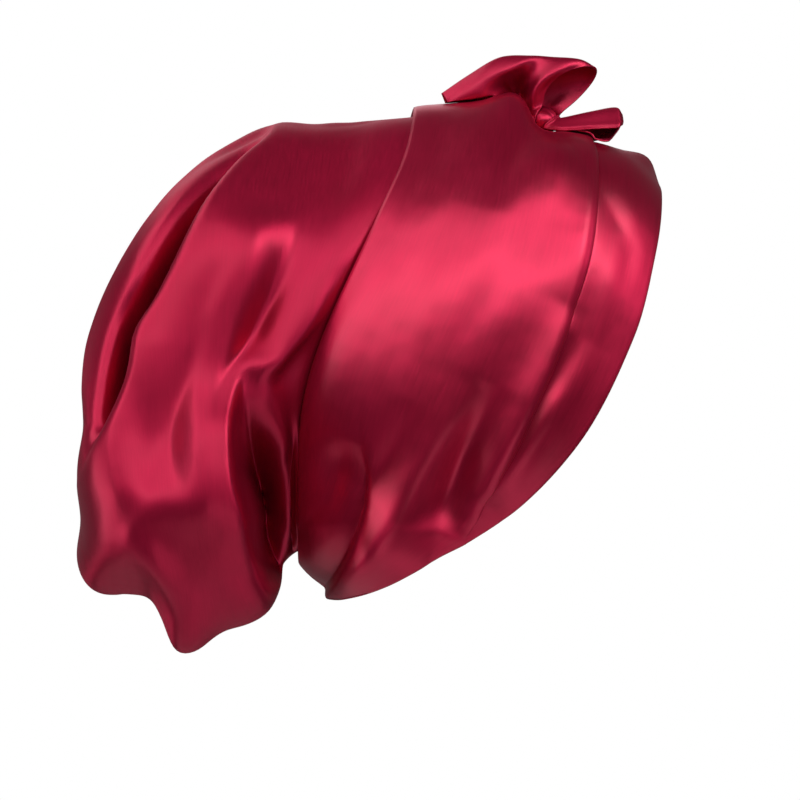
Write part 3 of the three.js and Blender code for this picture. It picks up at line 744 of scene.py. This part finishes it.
def round_the_knot(points, clearance):
    """Points moved out from the knot's middle to lie round it."""
    offset = points - KNOT_AT
    share = np.linalg.norm(offset / (KNOT_RADII + clearance), axis=-1, keepdims=True)
    return KNOT_AT + offset / np.clip(share, 1e-6, 1)


def clear_of_knot(points, clearance):
    """Points moved out until they are off the knot's pleated face by the clearance."""
    places = [Vector(point) for point in points.reshape(-1, 3) * MM]
    cleared = [lifted_off(place, knot_tree, clearance * MM) / MM for place in places]
    return np.array(cleared).reshape(points.shape)


def strip(name, table, along, across):
    """A cloth strip lofted through a table of stations."""
    stations = placed([row["across"] for row in table])
    lengthwise = smooth_line(stations, np.linspace(0, 1, along + 1))
    grid = np.stack([smooth_line(row, np.linspace(0, 1, across + 1)) for row in lengthwise])
    clearance = TIE_THICKNESS + GAP
    grid = round_the_knot(grid, clearance)
    for attempt in range(4):
        grid = clear_of_knot(clear_of_band(eased(grid), clearance), clearance + GAP)
    return cloth_piece(name, grid)


tie_back = strip("satin_tie_back", TIE_END_BACK, along=110, across=44)
tie_front = strip("satin_tie_front", TIE_END_FRONT, along=50, across=56)
for tie in (tie_back, tie_front):
    thicken(tie, TIE_THICKNESS)
print("Tie faces:", len(tie_back.data.polygons), len(tie_front.data.polygons))

# %% [markdown]
# ## Satin
# Satin is woven so that long threads float on its face. The floats act like a bundle of fine bright rods: a
# highlight is smeared across them and stays narrow along them, which Principled BSDF calls anisotropic. The
# highlight takes the colour of the dye, as a metal's does, with a little white on top, so some metallic is
# mixed with a thin coat. A sheen would only whiten the edges. The back shows the short floats, so it is dull.

# %% Colours and nodes
def linear(hex_colour):
    """Linear colour from an sRGB hex colour."""
    channels = [int(hex_colour[k:k + 2], 16) / 255 for k in (1, 3, 5)]
    return [c / 12.92 if c <= 0.04045 else ((c + 0.055) / 1.055) ** 2.4 for c in channels] + [1]


def add_node(tree, kind, inputs=None, **settings):
    """Adds a node with settings, and with values or links for its inputs."""
    node = tree.nodes.new(kind)
    for name, value in settings.items():
        setattr(node, name, value)
    for socket, value in (inputs or {}).items():
        if isinstance(value, bpy.types.NodeSocket):
            tree.links.new(value, node.inputs[socket])
        else:
            node.inputs[socket].default_value = value
    return node


print("Wine red in linear light:", [round(c, 3) for c in linear("#A80E34")])

# %% Satin
FLOAT_LENGTH = 14.0  # a real float is about 1 mm long and under 0.1 mm wide, too fine to show here, so
FLOAT_WIDTH = 0.9  # the threads are drawn coarser, as the streaks that a bundle of floats makes
DYE_CLOUD = 50.0  # the dye is a little uneven over this distance
CRUMPLE = 16.0  # soft creases too small to be modelled


def satin(name, cut, turn, coat, rough, depth, metallic=0.76):
    """Woven polyester satin for a cut of cloth (length, width in mm). Turn is the direction of its floats in
    whole turns, and depth scales the dye; the crown's and the tie's lower values are painted shade, making
    them darker copies of the band's satin. It gives the eye a smeared highlight of the dye's colour."""
    material = bpy.data.materials.new(name)
    material.use_nodes = True
    tree = material.node_tree
    shader = tree.nodes["Principled BSDF"]
    where = add_node(tree, "ShaderNodeTexCoord")
    per_float = (cut[0] / FLOAT_LENGTH, cut[1] / FLOAT_WIDTH, 1)
    flat = add_node(tree, "ShaderNodeMapping", {"Vector": where.outputs["UV"], "Scale": per_float})
    threads = add_node(tree, "ShaderNodeTexNoise", {"Vector": flat.outputs[0], "Scale": 1.0, "Detail": 2.0})
    cloud = add_node(
        tree, "ShaderNodeTexNoise",
        {"Vector": where.outputs["Object"], "Scale": 1 / (DYE_CLOUD * MM), "Detail": 2.0})
    crumple = add_node(
        tree, "ShaderNodeTexNoise",
        {"Vector": where.outputs["Object"], "Scale": 1 / (CRUMPLE * MM), "Detail": 1.0})
    dye = add_node(
        tree, "ShaderNodeMix",
        {"Factor": cloud.outputs["Fac"], 6: linear("#A80E34"), 7: linear("#BC1642")}, data_type="RGBA")
    tone = add_node(
        tree, "ShaderNodeMapRange",
        {"Value": threads.outputs["Fac"], "To Min": 0.86 * depth, "To Max": 1.14 * depth})
    colour = add_node(
        tree, "ShaderNodeVectorMath", {0: dye.outputs[2], 1: tone.outputs[0]}, operation="MULTIPLY")
    gloss = add_node(
        tree, "ShaderNodeMapRange",
        {"Value": threads.outputs["Fac"], "To Min": rough, "To Max": rough + 0.12})
    weave = add_node(
        tree, "ShaderNodeBump", {"Height": threads.outputs["Fac"], "Strength": 0.12, "Distance": 0.4 * MM})
    creases = add_node(
        tree, "ShaderNodeBump",
        {"Height": crumple.outputs["Fac"], "Strength": 0.1, "Distance": 4 * MM, "Normal": weave.outputs[0]})
    floats = add_node(tree, "ShaderNodeTangent", direction_type="UV_MAP")
    shader.inputs["Metallic"].default_value = metallic
    shader.inputs["Anisotropic"].default_value = 0.75
    shader.inputs["Anisotropic Rotation"].default_value = turn
    shader.inputs["Coat Weight"].default_value = coat
    shader.inputs["Coat Roughness"].default_value = 0.32
    shader.inputs["Specular Tint"].default_value = linear("#F2C4CE")
    tree.links.new(colour.outputs[0], shader.inputs["Base Color"])
    tree.links.new(gloss.outputs[0], shader.inputs["Roughness"])
    tree.links.new(creases.outputs[0], shader.inputs["Normal"])
    tree.links.new(floats.outputs[0], shader.inputs["Tangent"])
    return material


band_satin = satin("wine_satin_band", (700, 150), turn=0.25, coat=0.32, rough=0.36, depth=1.0)
# The crown and the tie are the band's satin with the dye scaled down, to 0.84 and 0.86: painted shade.
crown_satin = satin("wine_satin_crown", (700, 300), turn=0.0, coat=0.1, rough=0.34, depth=0.84)
tie_satin = satin("wine_satin_tie", (60, 120), turn=0.0, coat=0.2, rough=0.36, depth=0.86)
satin_back = satin("wine_satin_back", (700, 300), turn=0.0, coat=0.0, rough=0.6, depth=0.6, metallic=0.1)
print("Satins:", [m.name for m in (band_satin, crown_satin, tie_satin, satin_back)])

# %% [markdown]
# ## Pieces in the frame
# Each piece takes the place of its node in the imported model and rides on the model's one body. The band and
# the crown show the dull back of the satin inside; a tie end is a tube sewn flat, so it is bright all round.

# %% Pieces in the frame
PIECES = (
    (band, "band", "band_satin", (band_satin, satin_back)),
    (crown, "crown", "crown_satin", (crown_satin, satin_back)),
    (knot, "knot", "tie_satin", (tie_satin,)),
    (tie_back, "tie_end_back", "tie_satin", (tie_satin, tie_satin)),
    (tie_front, "tie_end_front", "tie_satin", (tie_satin, tie_satin)),
)
for piece, node, slot, finishes in PIECES:
    for finish in finishes:
        piece.data.materials.append(finish)
    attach(piece, "root")
    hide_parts(node)
print("Pieces:", [piece.name for piece, *rest in PIECES])

# %% [markdown]
# ## Flat sizes
# Before it was sewn and worn, each piece was a flat cut of satin. Its length and width are given to the satin
# above, where they only set the size of the threads. The band's strip narrows from the top to the nape, and
# the crown's cut narrows to the line where it closes, so their areas are less than width times length.

# %% [markdown]
# ## Floor
# The bonnet is shown as it is worn, so nothing stands on the floor. It is a pale disc of paper, far below,
# and only views from above show it. Its fibres give it a faint cloudiness.

# %% Floor
FLOOR = -0.85
PAPER_CLOUD = 60.0  # real fibre clouds are a few millimetres; drawn larger so that they show from afar

bpy.ops.object.select_all(action="DESELECT")
bpy.ops.mesh.primitive_circle_add(vertices=128, radius=0.85, fill_type="NGON", location=(0, 0.25, FLOOR))
floor = bpy.context.object
floor.name = floor.data.name = "floor"
bpy.ops.object.transform_apply(location=True, rotation=True, scale=True)
paper = bpy.data.materials.new("white_paper")
paper.use_nodes = True
paper_tree = paper.node_tree
paper_where = add_node(paper_tree, "ShaderNodeTexCoord")
fibres = add_node(
    paper_tree, "ShaderNodeTexNoise",
    {"Vector": paper_where.outputs["Object"], "Scale": 1 / (PAPER_CLOUD * MM), "Detail": 3.0})
paper_colour = add_node(
    paper_tree, "ShaderNodeMix",
    {"Factor": fibres.outputs["Fac"], 6: linear("#DADADA"), 7: linear("#E1E1E0")}, data_type="RGBA")
paper_shader = paper_tree.nodes["Principled BSDF"]
paper_shader.inputs["Roughness"].default_value = 0.9
paper_tree.links.new(paper_colour.outputs[2], paper_shader.inputs["Base Color"])
floor.data.materials.append(paper)
print("Floor at z in m:", FLOOR)

# %% [markdown]
# ## Light
# Satin shows what it reflects, so the shape of the lights matters as much as their power. A long softbox over
# the camera draws the broad highlight across the band. Another above it softens its upper edge, small ones at
# the sides catch the back of the bag and the strip at the front, and a weak low one opens the low folds. A
# point light would only give small hot spots.

# %% Light
AIM = Vector((-0.04, 0, 0))
SOFTBOXES = [
    {"name": "key", "size": (3.8, 0.42), "at": (-0.3, -1.25, 0.66), "power": 22},
    {"name": "upper", "size": (3.8, 0.5), "at": (-0.3, -0.95, 1.20), "power": 13.5},
    {"name": "left", "size": (1.2, 0.8), "at": (-1.6, 0.0, -0.35), "power": 7},
    {"name": "upper_left", "size": (1.2, 0.8), "at": (-1.25, 0.4, 1.25), "power": 6},
    {"name": "near_left", "size": (0.8, 0.7), "at": (-1.5, -0.45, 0.6), "power": 2.2},
    {"name": "right", "size": (0.8, 0.9), "at": (1.45, -0.8, 0.88), "power": 15},
    {"name": "low", "size": (1.0, 0.7), "at": (0.45, -0.85, -0.85), "power": 2.0},
    {"name": "rear", "size": (1.2, 0.8), "at": (-0.3, 1.6, 0.9), "power": 3},
]
for box in SOFTBOXES:
    data = bpy.data.lights.new(box["name"], "AREA")
    data.shape = "RECTANGLE"
    data.size, data.size_y = box["size"]
    data.energy = box["power"]
    light = bpy.data.objects.new(box["name"], data)
    light.location = box["at"]
    light.rotation_euler = (AIM - Vector(box["at"])).to_track_quat("-Z", "Y").to_euler()
    bpy.context.collection.objects.link(light)
print("Softboxes:", len(SOFTBOXES))

# %% [markdown]
# ## Backdrop
# The picture has a pure white ground, but a white room would wash out the satin. So the camera sees white,
# and the cloth sees a dim room that is a little lighter behind it. The Standard view keeps colours as set.

# %% Backdrop
world = bpy.data.worlds.new("studio")
bpy.context.scene.world = world
world.use_nodes = True
room_tree = world.node_tree
direction = add_node(room_tree, "ShaderNodeTexCoord")
axes = add_node(room_tree, "ShaderNodeSeparateXYZ", {0: direction.outputs["Generated"]})
behind = add_node(
    room_tree, "ShaderNodeMapRange",
    {"Value": axes.outputs["Y"], "From Min": 0.0, "From Max": 0.9, "To Min": 0.02, "To Max": 0.14})
room_tree.links.new(behind.outputs["Result"], room_tree.nodes["Background"].inputs["Color"])
white = add_node(room_tree, "ShaderNodeBackground", {"Color": (1, 1, 1, 1)})
ray = add_node(room_tree, "ShaderNodeLightPath")
mix = add_node(
    room_tree, "ShaderNodeMixShader",
    {0: ray.outputs["Is Camera Ray"], 1: room_tree.nodes["Background"].outputs[0], 2: white.outputs[0]})
room_tree.links.new(mix.outputs[0], room_tree.nodes["World Output"].inputs["Surface"])
bpy.context.scene.view_settings.view_transform = "Standard"
print("World nodes:", len(room_tree.nodes))
